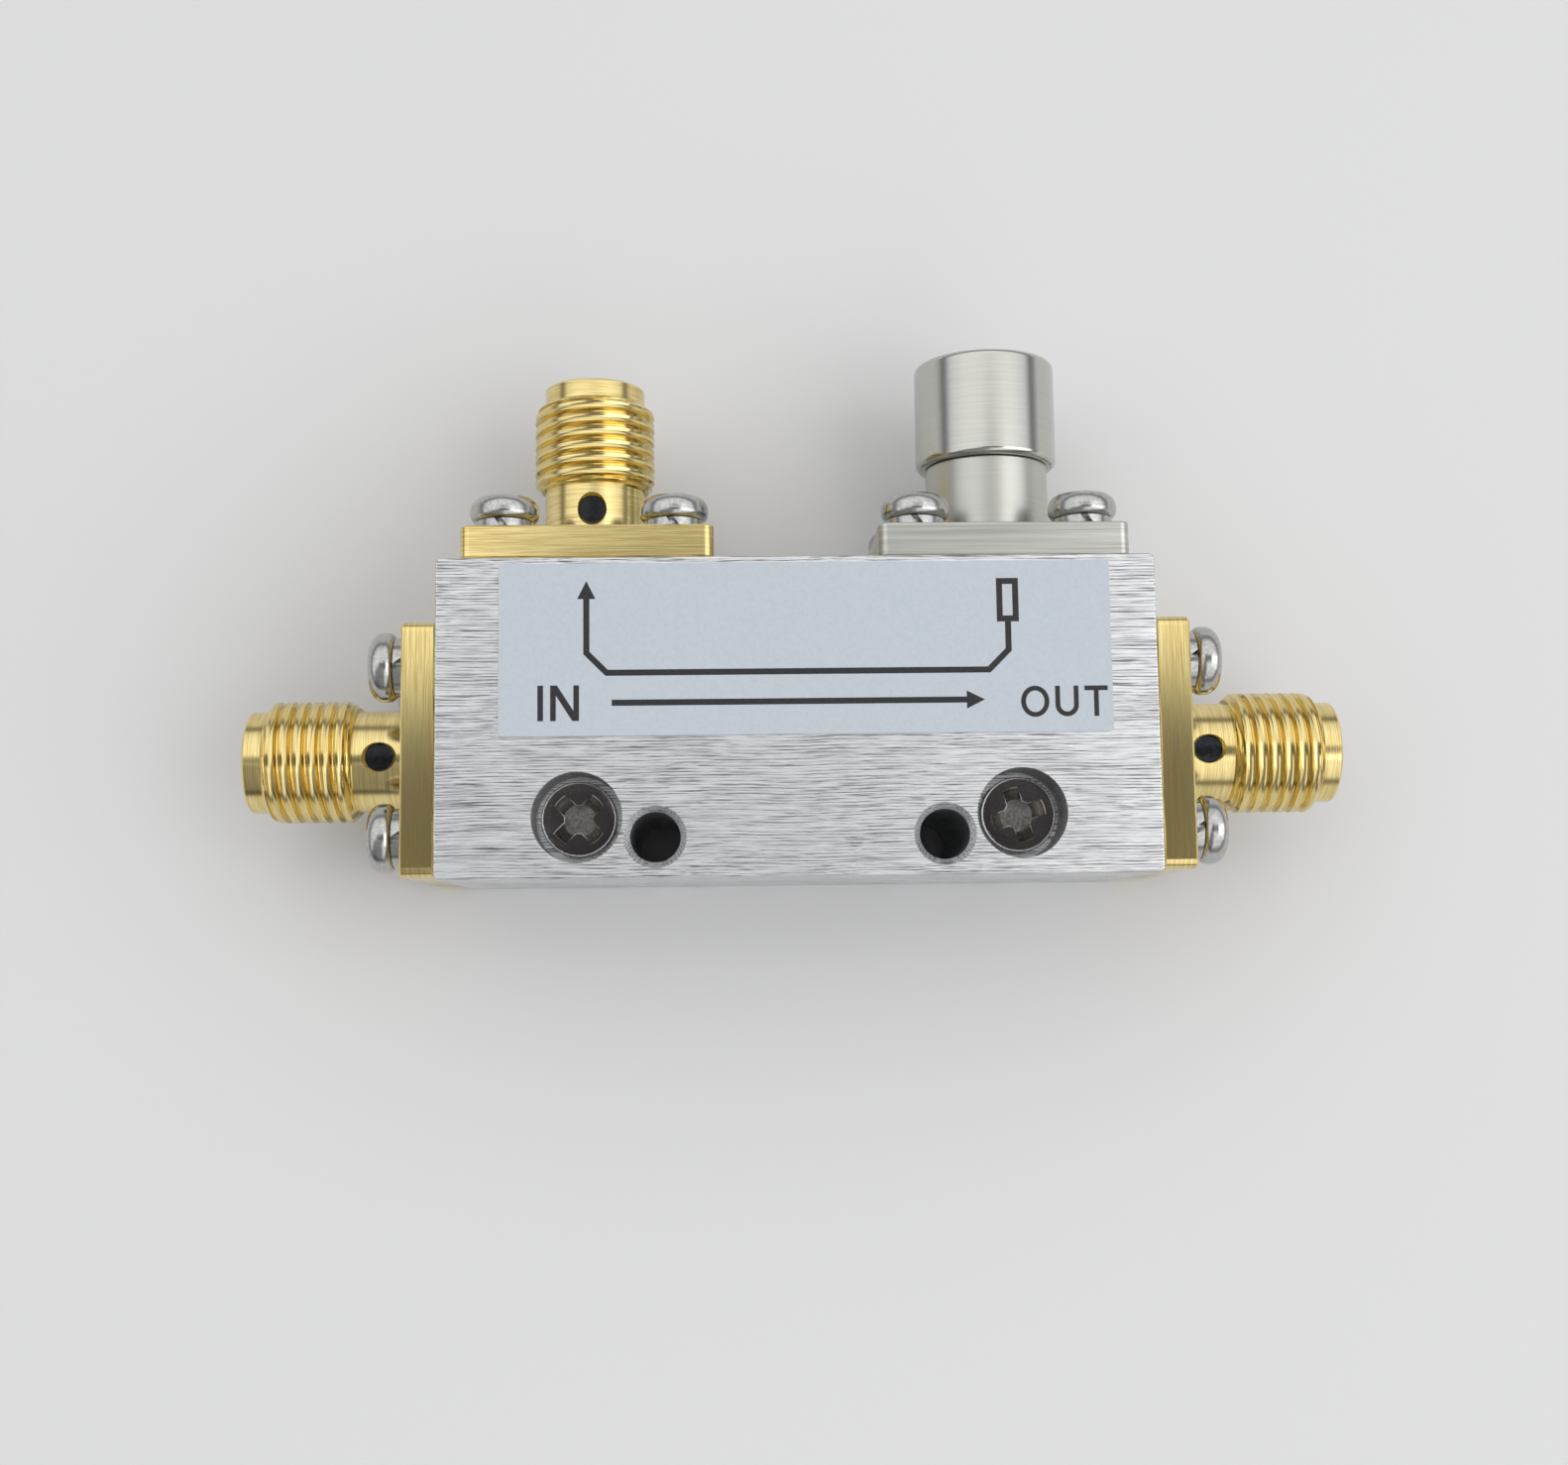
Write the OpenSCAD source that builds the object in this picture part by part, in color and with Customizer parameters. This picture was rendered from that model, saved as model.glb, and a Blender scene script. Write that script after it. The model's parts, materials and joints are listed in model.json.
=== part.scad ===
// Directional coupler: a milled clamshell housing with three coaxial jacks and one fixed load.
// Millimetres, +Z up, +X towards the output port, +Y towards the coupled port and the load.
// The origin is the centre of the housing's bottom face.

/* [Housing] */
// Length of the housing along X
body_l = 36; // [35:0.5:46]
// Width of the housing along Y
body_w = 16; // [15.5:0.5:22]
// Height of the housing along Z, both halves together
body_h = 13; // [12.8:0.1:18]
// Radius of the four upright corners
corner_r = 0.3; // [0.1:0.05:0.8]
// Wall between a port's flange and the inner cavity
port_wall = 2; // [1.4:0.1:2.6]
// Corner radius that the cutter leaves in the cavity
cavity_r = 1; // [0.4:0.1:1.5]

/* [Ports] */
// Distance of the side ports' axis behind the front face
side_port_inset = 6.5; // [6.4:0.1:7.4]
// Distance of each back port's axis from the middle of the housing
back_port_x = 10.5; // [9.6:0.1:11.5]
// Side of a square flange
flange_size = 12.7; // [12.2:0.1:12.8]
// Thickness of a flange
flange_t = 1.7; // [1.2:0.1:2.4]
// Corner radius of a flange
flange_r = 0.5; // [0.2:0.1:1.2]
// Spacing of the four flange screws
flange_pitch = 8.64; // [8.4:0.02:8.9]

/* [Jack] */
// Diameter of the plain neck behind the thread
neck_d = 5.3; // [5:0.1:5.8]
// Length of the neck from the flange to the thread
neck_l = 3.1; // [2.6:0.1:5]
// Outer diameter of the coupling thread
thread_d = 6.35; // [6:0.05:7]
// Length of the threaded stretch
thread_l = 4.6; // [3:0.1:7]
// Lead-in chamfer at both ends of the thread
thread_lead = 0.35; // [0.1:0.05:0.6]
// Diameter of the plain nose in front of the thread
nose_d = 5.3; // [5.1:0.1:5.6]
// Length of the nose
nose_l = 1; // [0.4:0.1:2]
// Diameter of the mouth that takes the mating plug's shell
mouth_d = 4.6; // [4.3:0.05:4.8]
// Depth of the mouth down to the insulator's face
mouth_depth = 1.9; // [1:0.1:2.6]
// Diameter of the white insulator
insulator_d = 4.1; // [3.4:0.1:4.2]
// Diameter of the centre contact
contact_d = 1.27; // [1.2:0.01:1.5]
// Bore of the contact's socket
socket_d = 0.94; // [0.7:0.02:1]
// Depth of the contact's socket
socket_depth = 2.6; // [2:0.1:4]
// Width of the slots that part the socket's four fingers
finger_slot = 0.12; // [0.08:0.02:0.16]
// Length of those slots
finger_l = 2; // [1.2:0.1:2.5]
// Diameter of the half-round tail that lies on the strip line
tail_d = 0.8; // [0.5:0.05:1]
// Length of the tail inside the cavity
tail_l = 1.4; // [0.8:0.1:2]
// Diameter of the resin cross plug that locks the contact
epoxy_d = 1.5; // [0.8:0.1:1.6]
// How far the resin lies below the neck's surface
epoxy_sink = 0.2; // [0.05:0.05:0.4]
// Diameter of the contact where the resin grips it
grip_d = 0.9; // [0.7:0.05:1]
// Distance of the resin plug from the flange's outer face
epoxy_out = 1.7; // [1:0.1:1.9]

/* [Load] */
// Diameter of the load's neck
load_neck_d = 6.5; // [6.2:0.1:6.8]
// Length of the load's neck from the flange to the cap
load_neck_l = 4.3; // [3:0.1:6]
// Diameter of the load's cap
load_cap_d = 7.5; // [7.2:0.1:8]
// Length of the load's cap
load_cap_l = 5.6; // [4.4:0.1:8]
// Rounding of the cap's two rims
load_cap_r = 0.3; // [0.1:0.05:0.5]
// Thickness of the cap's end wall
load_end_wall = 0.8; // [0.5:0.1:1.4]
// Diameter of the spigot that the cap is pressed on
spigot_d = 5.6; // [5.2:0.1:6]
// Length of the spigot
spigot_l = 2; // [1.2:0.1:3]
// How far the load's pin stands out of its insulator
load_pin_out = 0.5; // [0.2:0.1:1.5]
// Diameter of the rod resistor
resistor_d = 2; // [1.6:0.1:3]

/* [Fasteners] */
// Thread diameter of all screws
screw_d = 2; // [1.6:0.1:2.2]
// Clearance hole for a screw
screw_clear_d = 2.2; // [2.2:0.05:2.4]
// Head diameter of a flange screw
flange_head_d = 3.5; // [3.2:0.1:3.8]
// Head height of a flange screw
flange_head_h = 1.3; // [1:0.1:1.8]
// Rounding of a flange screw's head
flange_head_r = 0.7; // [0.3:0.05:0.8]
// Rounding of the same head's lower rim
flange_head_foot = 0.4; // [0.1:0.05:0.45]
// Length of a flange screw under its head
flange_screw_l = 5; // [4:0.1:5.2]
// Outer diameter of a split washer
washer_d = 3; // [2.8:0.1:3.5]
// Thickness of a split washer
washer_t = 0.5; // [0.3:0.05:0.7]
// Gap at the split of a washer
washer_slit = 0.3; // [0.15:0.05:0.5]
// Slant of the split away from the washer's axis
washer_slant = 35; // [10:1:45]
// Distance of the closing screws from the middle of the housing
closing_x = 11; // [10.8:0.1:11.6]
// Distance of the closing screws behind the front face
closing_inset = 3; // [2.7:0.1:3.1]
// Head diameter of a closing screw
closing_head_d = 3.8; // [3.4:0.1:4.1]
// Head height of a closing screw
closing_head_h = 1.5; // [1.2:0.1:2]
// Rounding of a closing screw's head
closing_head_r = 0.15; // [0.1:0.05:0.5]
// Length of a closing screw under its head
closing_l = 8; // [6:0.1:8.5]
// Diameter of the counterbores
counterbore_d = 4.5; // [4.3:0.1:4.8]
// Depth of the counterbores
counterbore_depth = 3; // [2.2:0.1:4]
// Spacing of the two mounting holes
mount_pitch = 14.3; // [13:0.1:14.6]
// Distance of the mounting holes behind the front face
mount_inset = 2; // [1.7:0.1:2.4]
// Diameter of the mounting holes
mount_d = 2.5; // [2:0.1:2.7]
// Chamfer at both mouths of a mounting hole
mount_chamfer = 0.3; // [0.1:0.05:0.4]

/* [Circuit] */
// Thickness of each dielectric board
board_t = 1.6; // [1:0.1:1.8]
// Thickness of the film that carries the strips
film_t = 0.13; // [0.05:0.01:0.3]
// Thickness of the copper strips
copper_t = 0.035; // [0.02:0.005:0.1]
// Width of the strips at the ports
line_w = 2.6; // [1.6:0.1:2.8]
// Width of the strips where they run side by side
coupled_w = 2.2; // [1.2:0.1:2.4]
// Gap between the two strips
line_gap = 0.4; // [0.2:0.05:0.8]
// Board left clear in front of the main strip
line_margin = 0.5; // [0.3:0.05:0.7]
// Mitre at the corners of the coupled strip
line_mitre = 1.4; // [0.6:0.1:1.8]
// Setback of the strips' ends from the cavity walls
line_setback = 0.2; // [0.1:0.05:0.5]

/* [Label] */
// Length of the label along X
label_l = 30.5; // [24:0.5:34]
// Width of the label along Y
label_w = 8.65; // [6:0.05:10]
// Thickness of the label
label_t = 0.1; // [0.05:0.01:0.3]
// Corner radius of the label
label_r = 0.2; // [0.1:0.05:1]
// Offset of the label's middle towards the output port
label_shift = 0.4; // [-0.8:0.1:0.8]
// Bare strip between the label and the back edge
label_back = 0.35; // [0.2:0.05:1.5]

/* [Clearances] */
// Radial play of turned and threaded pieces in their holes
fit = 0.02; // [0.01:0.005:0.05]
// Play of the boards in the cavity
board_fit = 0.05; // [0.02:0.01:0.15]
// Spare depth at the bottom of a tapped hole
tap_spare = 0.4; // [0.2:0.1:0.6]
// Room around a contact's tail in the upper board
tail_room = 0.2; // [0.1:0.05:0.4]

/* [Hidden] */
$fn = 64;

// Overshoot of cutting tools, so that no cut ends in a skin
cut = 0.1;

// Heights and edges of the housing
axis_z = body_h / 2;
front_y = -body_w / 2;
side_port_y = front_y + side_port_inset;
closing_y = front_y + closing_inset;
mount_y = front_y + mount_inset;
counterbore_floor = body_h - counterbore_depth;

// The ports: place of each flange's seat and the direction that its axis points to
INPUT = [-body_l / 2, side_port_y, 180];
OUTPUT = [body_l / 2, side_port_y, 0];
COUPLED = [-back_port_x, body_w / 2, 90];
LOAD = [back_port_x, body_w / 2, 90];
PORTS = [INPUT, OUTPUT, COUPLED, LOAD];

// The cavity, in plan and in height: the strips' upper faces lie in the plane of the port axes
cavity_x = body_l / 2 - port_wall;
cavity_front = side_port_y - line_w / 2 - line_margin;
cavity_back = body_w / 2 - port_wall;
cavity_floor = axis_z - copper_t - film_t - board_t;
cavity_roof = axis_z + board_t + board_fit;

// Stations along a port's axis, counted outwards from the housing's face
neck_end = flange_t + neck_l;
thread_end = neck_end + thread_l;
mouth_end = thread_end + nose_l;
mouth_floor = mouth_end - mouth_depth;
epoxy_z = flange_t + epoxy_out;
washer_top = flange_t + washer_t;
load_neck_end = flange_t + load_neck_l;
load_end = load_neck_end + load_cap_l;
load_roof = load_end - load_end_wall;
load_pin_end = load_neck_end + load_pin_out;
tap_depth = flange_screw_l - washer_top + tap_spare;

// Edges of the two strips
main_step_x = back_port_x + line_w / 2 + line_gap;
coupled_front = side_port_y + coupled_w / 2 + line_gap;

// A cross recess as shares of the head: its span, floor, arms and blunt core across, and its depth down
recess_span = 0.74;
recess_floor = 0.43;
recess_arm = 0.2;
recess_core = 0.36;
recess_sink = 0.55;

// How far each screw happens to be turned
FLANGE_TURN = 30;
CLOSING_TURNS = [45, 17];

// Screw tips and washers
tip_chamfer = 0.25;
washer_bore = screw_d + 4 * fit;

// Length of the contact's reduced stretch in the resin
grip_l = epoxy_d + 2 * fit;

// Colours
ALUMINIUM = [0.78, 0.79, 0.8];
GOLD = [0.85, 0.66, 0.3];
STAINLESS = [0.74, 0.75, 0.77];
DARK_STEEL = [0.42, 0.43, 0.46];
PTFE = [0.95, 0.95, 0.93];
RESIN = [0.08, 0.08, 0.09];
COPPER = [0.8, 0.48, 0.32];
BOARD = [0.88, 0.86, 0.78];
FILM = [0.72, 0.58, 0.3];
LABEL = [0.78, 0.8, 0.86];
CERAMIC = [0.9, 0.9, 0.88];

// Outline of a rectangle with round corners, centred on the origin
module rounded_outline(l, w, r) {
    square([l - 2 * r, w], center = true);
    square([l, w - 2 * r], center = true);
    for (sx = [-1, 1], sy = [-1, 1])
        translate([sx * (l / 2 - r), sy * (w / 2 - r)])
            circle(r = r);
}

// A plate with round upright corners, standing on z = 0
module rounded_plate(l, w, h, r) {
    linear_extrude(h)
        rounded_outline(l, w, r);
}

// A bar along X with its upper far corner rounded to the bar's whole height
module round_ended_bar(l, h) {
    square([l - h, h]);
    translate([l - h, 0])
        intersection() {
            circle(r = h);
            square(h);
        }
}

// Half section of a disc with its upper rim rounded, and its lower rim too if a foot is given
module disc_half_section(r, h, round, foot = 0) {
    translate([0, foot])
        square([r, h - round - foot]);
    translate([0, h - round])
        round_ended_bar(r, round);
    if (foot > 0)
        translate([0, foot])
            mirror([0, 1, 0])
                round_ended_bar(r, foot);
}

// Puts children at a port: local Z points out of the housing and local Y up
module at_port(port) {
    translate([port[0], port[1], axis_z])
        rotate([90, 0, 90 + port[2]])
            children();
}

module at_flange_holes() {
    for (sx = [-1, 1], sy = [-1, 1])
        translate([sx * flange_pitch / 2, sy * flange_pitch / 2, 0])
            children();
}

// Puts children at both closing screws, each told by $turn how far its screw is turned
module at_closing_screws() {
    for (side = [0, 1]) {
        $turn = CLOSING_TURNS[side];
        translate([(2 * side - 1) * closing_x, closing_y, 0])
            children();
    }
}

module at_mounting_holes() {
    for (sx = [-1, 1])
        translate([sx * mount_pitch / 2, mount_y, 0])
            children();
}

// Housing

module housing_block(low, high) {
    translate([0, 0, low])
        rounded_plate(body_l, body_w, high - low, corner_r);
}

// The milled pocket in plan, drawn in by a margin for the boards that lie in it
module cavity_outline(margin) {
    translate([0, (cavity_front + cavity_back) / 2])
        rounded_outline(2 * (cavity_x - margin), cavity_back - cavity_front - 2 * margin, cavity_r - margin);
}

module cavity() {
    translate([0, 0, cavity_floor])
        linear_extrude(cavity_roof - cavity_floor)
            cavity_outline(0);
}

// Bores through the walls for the insulators, and the tapped holes round them
module port_cuts() {
    for (port = PORTS)
        at_port(port) {
            translate([0, 0, -port_wall - cut])
                cylinder(d = insulator_d + 2 * fit, h = port_wall + 2 * cut);
            at_flange_holes()
                translate([0, 0, -tap_depth])
                    cylinder(d = screw_d + 2 * fit, h = tap_depth + cut);
        }
}

module mounting_cuts() {
    at_mounting_holes() {
        translate([0, 0, -cut])
            cylinder(d = mount_d, h = body_h + 2 * cut);
        for (end = [0, 1])
            translate([0, 0, end * body_h])
                mirror([0, 0, end])
                    translate([0, 0, -cut])
                        cylinder(
                            d1 = mount_d + 2 * (mount_chamfer + cut),
                            d2 = mount_d,
                            h = mount_chamfer + cut
                        );
    }
}

module lower_housing() {
    color(ALUMINIUM)
        difference() {
            housing_block(0, axis_z);
            cavity();
            port_cuts();
            mounting_cuts();
            at_closing_screws()
                translate([0, 0, counterbore_floor - closing_l - tap_spare])
                    cylinder(d = screw_d + 2 * fit, h = body_h);
        }
}

module upper_housing() {
    color(ALUMINIUM)
        difference() {
            housing_block(axis_z, body_h);
            cavity();
            port_cuts();
            mounting_cuts();
            at_closing_screws() {
                cylinder(d = screw_clear_d, h = body_h);
                translate([0, 0, counterbore_floor])
                    cylinder(d = counterbore_d, h = counterbore_depth + cut);
            }
        }
}

module label() {
    color(LABEL)
        translate([label_shift, body_w / 2 - label_back - label_w / 2, body_h])
            rounded_plate(label_l, label_w, label_t, label_r);
}

// Fasteners

// Cutter for a cross recess, down from z = 0: four arms whose ends taper towards a blunt core
module cross_recess(head_d, depth) {
    span = recess_span * head_d;
    floor_d = recess_floor * head_d;
    flare = (span - floor_d) / depth * cut;
    translate([0, 0, -depth])
        intersection() {
            cylinder(d1 = floor_d, d2 = span + flare, h = depth + cut);
            linear_extrude(depth + cut) {
                for (arm = [0, 90])
                    rotate(arm)
                        square([2 * span, recess_arm * head_d], center = true);
                rotate(45)
                    square(recess_core * head_d, center = true);
            }
        }
}

// A cross-recessed screw whose head rests on z = 0
module cross_screw(head_d, head_h, head_r, head_foot, length, turn) {
    difference() {
        union() {
            rotate_extrude()
                disc_half_section(head_d / 2, head_h, head_r, head_foot);
            translate([0, 0, -length + tip_chamfer])
                cylinder(d = screw_d, h = length);
            translate([0, 0, -length])
                cylinder(d1 = screw_d - 2 * tip_chamfer, d2 = screw_d, h = tip_chamfer);
        }
        translate([0, 0, head_h])
            rotate(turn)
                cross_recess(head_d, recess_sink * head_h);
    }
}

module split_washer() {
    difference() {
        cylinder(d = washer_d, h = washer_t);
        translate([0, 0, -cut])
            cylinder(d = washer_bore, h = washer_t + 2 * cut);
        translate([0, washer_d / 2, washer_t / 2])
            rotate([0, washer_slant, 0])
                cube([washer_slit, washer_d, 4 * washer_t], center = true);
    }
}

module flange_screws(port) {
    color(STAINLESS)
        at_port(port)
            at_flange_holes()
                translate([0, 0, washer_top])
                    cross_screw(
                        flange_head_d, flange_head_h, flange_head_r, flange_head_foot,
                        flange_screw_l, FLANGE_TURN
                    );
}

module flange_washers(port) {
    color(STAINLESS)
        at_port(port)
            at_flange_holes()
                translate([0, 0, flange_t])
                    split_washer();
}

module closing_screws() {
    color(DARK_STEEL)
        at_closing_screws()
            translate([0, 0, counterbore_floor])
                cross_screw(closing_head_d, closing_head_h, closing_head_r, 0, closing_l, $turn);
}

// Circuit: two boards with the strips on a film between them

module lower_board() {
    color(BOARD)
        translate([0, 0, cavity_floor])
            linear_extrude(board_t)
                cavity_outline(board_fit);
}

module circuit_film() {
    color(FILM)
        translate([0, 0, cavity_floor + board_t])
            linear_extrude(film_t)
                cavity_outline(board_fit);
}

module upper_board() {
    color(BOARD)
        difference() {
            translate([0, 0, axis_z])
                linear_extrude(board_t)
                    cavity_outline(board_fit);
            for (port = PORTS)
                at_port(port)
                    translate([-tail_d / 2 - tail_room, -cut, -port_wall - tail_l - tail_room])
                        cube([tail_d + 2 * tail_room, board_t + 2 * cut, tail_l + port_wall]);
        }
}

module strip(outline) {
    color(COPPER)
        translate([0, 0, axis_z - copper_t])
            linear_extrude(copper_t)
                polygon(outline);
}

// Straight strip from the input to the output, narrower beside the coupled strip
module main_line() {
    end_x = cavity_x - line_setback;
    upper = [
        [-end_x, line_w / 2], [-main_step_x, line_w / 2], [-main_step_x, coupled_w / 2],
        [main_step_x, coupled_w / 2], [main_step_x, line_w / 2], [end_x, line_w / 2]
    ];
    last = len(upper) - 1;
    strip([
        for (p = upper) [p[0], side_port_y + p[1]],
        for (i = [last:-1:0]) [upper[i][0], side_port_y - upper[i][1]]
    ]);
}

// U-shaped strip from the coupled port, along the main strip, to the load
module coupled_line() {
    end_y = cavity_back - line_setback;
    outer_x = back_port_x + line_w / 2;
    inner_x = back_port_x - line_w / 2;
    right = [
        [inner_x, coupled_front + coupled_w], [inner_x, end_y], [outer_x, end_y],
        [outer_x, coupled_front + line_mitre], [outer_x - line_mitre, coupled_front]
    ];
    last = len(right) - 1;
    strip([
        for (p = right) p,
        for (i = [last:-1:0]) [-right[i][0], right[i][1]]
    ]);
}

// Jack

module flange() {
    difference() {
        rounded_plate(flange_size, flange_size, flange_t, flange_r);
        at_flange_holes()
            translate([0, 0, -cut])
                cylinder(d = screw_clear_d, h = flange_t + 2 * cut);
    }
}

// Round bar across a jack's neck: the resin's hole, or the resin itself with play round it
module epoxy_bore(play = 0) {
    translate([0, 0, epoxy_z])
        rotate([90, 0, 0])
            cylinder(d = epoxy_d - 2 * play, h = 2 * neck_d, center = true);
}

// Gold-plated shell in one piece: flange, neck, thread at its outer diameter, nose and mouth
module jack_shell(port) {
    neck = neck_d / 2;
    crest = thread_d / 2;
    nose = nose_d / 2;
    root = crest - thread_lead;
    color(GOLD)
        at_port(port)
            difference() {
                union() {
                    flange();
                    rotate_extrude()
                        polygon([
                            [0, 0], [neck, 0], [neck, neck_end], [root, neck_end],
                            [crest, neck_end + thread_lead], [crest, thread_end - thread_lead],
                            [root, thread_end], [nose, thread_end], [nose, mouth_end], [0, mouth_end]
                        ]);
                }
                translate([0, 0, -cut])
                    cylinder(d = insulator_d + 2 * fit, h = mouth_end);
                translate([0, 0, mouth_floor])
                    cylinder(d = mouth_d, h = mouth_depth + cut);
                epoxy_bore();
            }
}

module jack_insulator(port) {
    color(PTFE)
        at_port(port)
            difference() {
                translate([0, 0, -port_wall])
                    cylinder(d = insulator_d, h = port_wall + mouth_floor);
                translate([0, 0, -port_wall - cut])
                    cylinder(d = contact_d + 2 * fit, h = port_wall + mouth_floor + 2 * cut);
                epoxy_bore();
            }
}

// Half-round tail, flat side down on the strip
module contact_tail() {
    intersection() {
        translate([0, 0, -port_wall - tail_l])
            cylinder(d = tail_d, h = tail_l + port_wall);
        translate([-tail_d, 0, -port_wall - 2 * tail_l])
            cube([2 * tail_d, tail_d, 3 * tail_l + port_wall]);
    }
}

module jack_contact(port) {
    color(GOLD)
        at_port(port)
            difference() {
                union() {
                    translate([0, 0, -port_wall])
                        cylinder(d = contact_d, h = port_wall + mouth_floor);
                    contact_tail();
                }
                translate([0, 0, mouth_floor - socket_depth])
                    cylinder(d = socket_d, h = socket_depth + cut);
                for (turn = [0, 90])
                    rotate(turn)
                        translate([0, 0, mouth_floor])
                            cube([2 * contact_d, finger_slot, 2 * finger_l], center = true);
                translate([0, 0, epoxy_z - grip_l / 2])
                    difference() {
                        cylinder(d = 2 * contact_d, h = grip_l);
                        cylinder(d = grip_d, h = grip_l);
                    }
            }
}

// Resin cast in the cross hole, round the contact and a little below the neck's surface at both ends
module jack_epoxy(port) {
    color(RESIN)
        at_port(port)
            difference() {
                intersection() {
                    epoxy_bore(fit);
                    cylinder(d = neck_d - 2 * epoxy_sink, h = neck_end);
                }
                cylinder(d = grip_d + 2 * fit, h = neck_end);
            }
}

// Load

module load_body() {
    color(STAINLESS)
        at_port(LOAD)
            difference() {
                union() {
                    flange();
                    cylinder(d = load_neck_d, h = load_neck_end);
                    cylinder(d = spigot_d, h = load_neck_end + spigot_l);
                }
                translate([0, 0, -cut])
                    cylinder(d = insulator_d + 2 * fit, h = load_neck_end + spigot_l + 2 * cut);
            }
}

// Cup with both rims rounded, pressed on the body's spigot
module load_cap() {
    color(STAINLESS)
        at_port(LOAD)
            translate([0, 0, load_neck_end])
                difference() {
                    rotate_extrude()
                        disc_half_section(load_cap_d / 2, load_cap_l, load_cap_r, load_cap_r);
                    translate([0, 0, -cut])
                        cylinder(d = spigot_d + 2 * fit, h = load_cap_l - load_end_wall + cut);
                }
}

module load_insulator() {
    color(PTFE)
        at_port(LOAD)
            difference() {
                translate([0, 0, -port_wall])
                    cylinder(d = insulator_d, h = port_wall + load_neck_end);
                translate([0, 0, -port_wall - cut])
                    cylinder(d = contact_d + 2 * fit, h = port_wall + load_neck_end + 2 * cut);
            }
}

module load_pin() {
    color(GOLD)
        at_port(LOAD) {
            translate([0, 0, -port_wall])
                cylinder(d = contact_d, h = port_wall + load_pin_end);
            contact_tail();
        }
}

// Rod resistor between the pin's end and the cap's end wall
module load_resistor() {
    color(CERAMIC)
        at_port(LOAD)
            translate([0, 0, load_pin_end])
                cylinder(d = resistor_d, h = load_roof - load_pin_end);
}

lower_housing();
upper_housing();
closing_screws();
label();
lower_board();
circuit_film();
main_line();
coupled_line();
upper_board();
jack_shell(INPUT);  // input_shell
jack_insulator(INPUT);  // input_insulator
jack_contact(INPUT);  // input_contact
jack_epoxy(INPUT);  // input_epoxy
flange_screws(INPUT);  // input_screws
flange_washers(INPUT);  // input_washers
jack_shell(OUTPUT);  // output_shell
jack_insulator(OUTPUT);  // output_insulator
jack_contact(OUTPUT);  // output_contact
jack_epoxy(OUTPUT);  // output_epoxy
flange_screws(OUTPUT);  // output_screws
flange_washers(OUTPUT);  // output_washers
jack_shell(COUPLED);  // coupled_shell
jack_insulator(COUPLED);  // coupled_insulator
jack_contact(COUPLED);  // coupled_contact
jack_epoxy(COUPLED);  // coupled_epoxy
flange_screws(COUPLED);  // coupled_screws
flange_washers(COUPLED);  // coupled_washers
load_body();
load_cap();
load_insulator();
load_pin();
load_resistor();
flange_screws(LOAD);  // load_screws
flange_washers(LOAD);  // load_washers
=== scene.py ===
"""Looks of a directional coupler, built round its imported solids. Metres, in the part's own frame."""
import json
import math

import bmesh
import bpy
from mathutils import Euler, Matrix, Vector


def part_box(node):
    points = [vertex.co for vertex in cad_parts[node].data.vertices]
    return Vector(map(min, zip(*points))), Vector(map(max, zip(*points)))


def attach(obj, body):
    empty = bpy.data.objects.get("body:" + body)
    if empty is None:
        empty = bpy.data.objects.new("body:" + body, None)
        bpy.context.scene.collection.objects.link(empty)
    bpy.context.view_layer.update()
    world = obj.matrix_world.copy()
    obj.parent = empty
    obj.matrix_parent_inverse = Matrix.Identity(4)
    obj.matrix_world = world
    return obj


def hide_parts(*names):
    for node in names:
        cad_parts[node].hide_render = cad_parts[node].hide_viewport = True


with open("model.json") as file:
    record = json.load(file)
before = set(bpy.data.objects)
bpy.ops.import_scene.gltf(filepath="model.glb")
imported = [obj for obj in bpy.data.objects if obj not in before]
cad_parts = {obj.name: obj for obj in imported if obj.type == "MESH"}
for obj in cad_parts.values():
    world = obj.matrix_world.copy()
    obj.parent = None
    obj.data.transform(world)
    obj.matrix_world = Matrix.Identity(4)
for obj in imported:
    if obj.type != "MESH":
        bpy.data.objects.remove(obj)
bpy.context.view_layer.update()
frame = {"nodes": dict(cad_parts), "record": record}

NODES = frame["nodes"]
RECORD = frame["record"]
MOUNTS = {mount["name"]: mount for mount in RECORD["mounts"]}
MM = 0.001
ROOT = "root"

# Camera, as the photograph was taken: almost straight down on the label
LENS = 43.53
SENSOR = 36.0
NEAR = 0.005
FAR = 10
CAMERA_AT = Vector((-3.521, -11.795, 106.135)) * MM
CAMERA_TURN = Euler([math.radians(a) for a in (6.683, -1.611, -0.757)])

# Floor, sky and lamp
FLOOR_HALF = 4.0
FLOOR_GREY = 0.78
SKY_LEVEL = 1.2
LAMP_W = 0.3
LAMP_H = 0.42
LAMP_LEVEL = 0.42
LAMP_AWAY = 0.45
LAMP_LEAN = math.radians(47)
LAMP_Y = -0.1

# Jack details that the solids leave plain
JACKS = ("input", "output", "coupled")
NECK_R = 2.65 * MM
NOSE_R = 2.65 * MM
FLANGE_CORNER = 0.5 * MM
FLANGE_PITCH = 8.64 * MM
SCREW_HOLE_R = 1.1 * MM
MOUTH_LEAD = 0.15 * MM
RESIN_LEAD = 0.15 * MM
THREAD_PITCH = 25.4 / 36 * MM
THREAD_DEPTH = 0.3 * MM
THREAD_LEAD = 0.35 * MM

# Thread's groove, in shares of its pitch and of its depth
GROOVE_ROOT = 0.04
GROOVE_FLANK = 0.21
CREST_HALF = 0.25
CREST_FALL = 0.12

# Fineness of the meshes, and distances too small to matter
ROWS_PER_PITCH = 20
SIDES = 128
HOLE_SIDES = 48
PAST = 1 * MM
SAME_POINT = 1e-7
NO_LENGTH = 1e-8

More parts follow.
